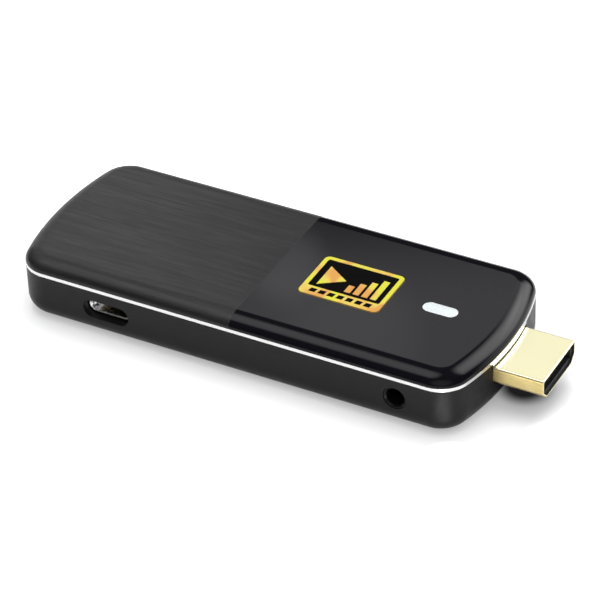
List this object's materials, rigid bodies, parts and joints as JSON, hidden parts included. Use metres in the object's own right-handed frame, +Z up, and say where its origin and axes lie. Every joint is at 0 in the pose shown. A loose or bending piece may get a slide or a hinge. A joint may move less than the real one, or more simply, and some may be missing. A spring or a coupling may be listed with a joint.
{
  "type": "media streaming stick",
  "caption": "Slim rounded media streaming stick with a bare video plug on its front end, a bright band round the case and ports along both long sides.",
  "frame": {"origin": "middle of the footprint of the whole stick, plug included, on the plane that the underside rests on", "axes": "+X out of the video plug, +Z up through the badge, -Y the long side with the power port and the round socket"},
  "size_m": [0.1038, 0.038, 0.013],
  "materials": {
    "cover_plastic": "piano black in front, fine lengthwise brushing behind",
    "ring_chrome": "polished",
    "shell_plastic": "satin",
    "lamp_plastic": "milky",
    "badge_gold": "gold with a black window",
    "plug_gold": "pale gold plate",
    "connector_plastic": "moulded black",
    "contact_gold": "gold flash",
    "port_steel": "tin plated",
    "plunger_plastic": "moulded",
    "board_laminate": "solder mask",
    "screw_steel": "black zinc",
    "chip_plastic": "moulded package",
    "pad_rubber": "soft silicone",
    "sink_aluminium": "extruded",
    "inductor_grey": "pressed powder",
    "capacitor_tan": "sintered",
    "led_plastic": "clear"
  },
  "bodies": {
    "stick": {"top_cover": "cover_plastic", "trim_ring": "ring_chrome", "lower_shell": "shell_plastic", "light_pipe": "lamp_plastic", "badge": "badge_gold", "video_plug_shell": "plug_gold", "video_plug_insulator": "connector_plastic", "video_plug_contacts": "contact_gold", "power_port_shell": "port_steel", "power_port_tongue": "connector_plastic", "power_port_contacts": "contact_gold", "jack_housing": "connector_plastic", "jack_contacts": "contact_gold", "reset_switch_case": "connector_plastic", "reset_switch_cover": "port_steel", "reset_switch_dome": "port_steel", "host_port_shell": "port_steel", "host_port_tongue": "connector_plastic", "host_port_contacts": "contact_gold", "card_socket_cover": "port_steel", "card_socket_base": "connector_plastic", "card_socket_contacts": "contact_gold", "main_board": "board_laminate", "board_screws": "screw_steel", "processor_chip": "chip_plastic", "thermal_pad": "pad_rubber", "heat_sink": "sink_aluminium", "memory_chips": "chip_plastic", "storage_chip": "chip_plastic", "power_chip": "chip_plastic", "inductors": "inductor_grey", "crystal": "port_steel", "capacitors": "capacitor_tan", "wireless_board": "board_laminate", "wireless_can": "port_steel", "antennas": "port_steel", "status_led": "led_plastic"},
    "reset_button": {"reset_plunger": "plunger_plastic"}
  },
  "joints": [
    {"name": "reset_press", "type": "slide", "parent": "stick", "child": "reset_button", "axis": [0, 1, 0], "range_m": [0, 0.00025], "stiffness_N_per_m": 300, "springref_m": -0.0002}
  ]
}
